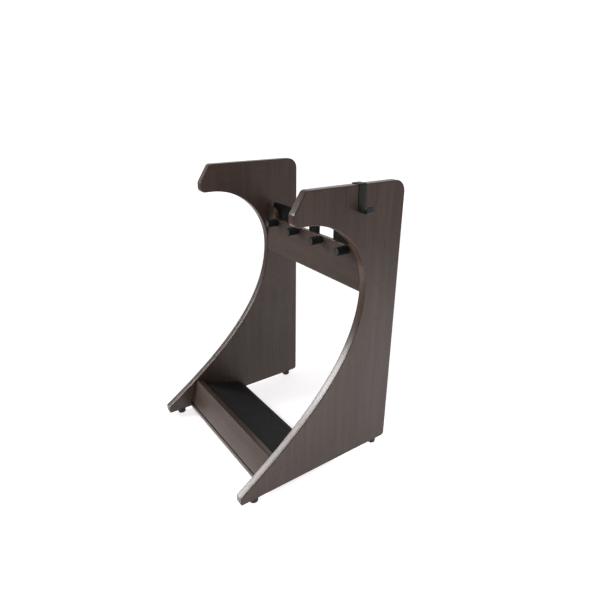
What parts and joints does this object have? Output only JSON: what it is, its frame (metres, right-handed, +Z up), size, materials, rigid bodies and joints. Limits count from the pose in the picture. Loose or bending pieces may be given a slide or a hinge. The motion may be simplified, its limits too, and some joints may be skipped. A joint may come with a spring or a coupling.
{
  "type": "guitar rack",
  "caption": "Floor rack that holds guitars side by side: curved wooden side panels, slanted padded seat, foam neck pegs on a cross board, rubber feet and a sliding cable hook.",
  "frame": {"origin": "on the floor, under the middle of the whole object including the hook", "axes": "+X to the rack's right seen from the front (the hook's side), +Y to the back, +Z up"},
  "size_m": [0.62, 0.58, 0.9268],
  "materials": {
    "wood": "satin dark brown-grey woodgrain laminate",
    "foam": "matt black closed-cell foam",
    "cap": "matt charcoal end disc",
    "rubber": "matt black rubber",
    "black_steel": "satin black powder coat",
    "zinc": "zinc-plated",
    "felt": "thin black felt"
  },
  "bodies": {
    "rack": {"side_panel_left": "wood", "side_panel_right": "wood", "neck_board": "wood", "front_board": "wood", "seat_board": "wood", "base_board": "wood", "seat_pad": "foam", "peg_core_1": "zinc", "peg_sleeve_1": "foam", "peg_cap_1": "cap", "peg_screw_1": "zinc", "peg_core_2": "zinc", "peg_sleeve_2": "foam", "peg_cap_2": "cap", "peg_screw_2": "zinc", "peg_core_3": "zinc", "peg_sleeve_3": "foam", "peg_cap_3": "cap", "peg_screw_3": "zinc", "peg_core_4": "zinc", "peg_sleeve_4": "foam", "peg_cap_4": "cap", "peg_screw_4": "zinc", "rest_pad_left": "foam", "rest_plate_left": "black_steel", "rest_screw_left_1": "black_steel", "rest_screw_left_2": "black_steel", "rest_pad_middle": "foam", "rest_plate_middle": "black_steel", "rest_screw_middle_1": "black_steel", "rest_screw_middle_2": "black_steel", "rest_pad_right": "foam", "rest_plate_right": "black_steel", "rest_screw_right_1": "black_steel", "rest_screw_right_2": "black_steel", "foot_left_front": "rubber", "foot_screw_left_front": "zinc", "foot_left_back": "rubber", "foot_screw_left_back": "zinc", "foot_right_front": "rubber", "foot_screw_right_front": "zinc", "foot_right_back": "rubber", "foot_screw_right_back": "zinc", "cam_neck_left": "zinc", "cam_bolt_neck_left": "zinc", "cam_neck_right": "zinc", "cam_bolt_neck_right": "zinc", "cam_front_left": "zinc", "cam_bolt_front_left": "zinc", "cam_front_right": "zinc", "cam_bolt_front_right": "zinc", "cam_seat_left": "zinc", "cam_bolt_seat_left": "zinc", "cam_seat_right": "zinc", "cam_bolt_seat_right": "zinc"},
    "hook": {"cable_hook": "black_steel", "hook_liner": "felt"}
  },
  "joints": [
    {"name": "hook_slide", "type": "slide", "parent": "rack", "child": "hook", "axis": [0, 1, 0], "range_m": [-0.16, 0.1]}
  ]
}
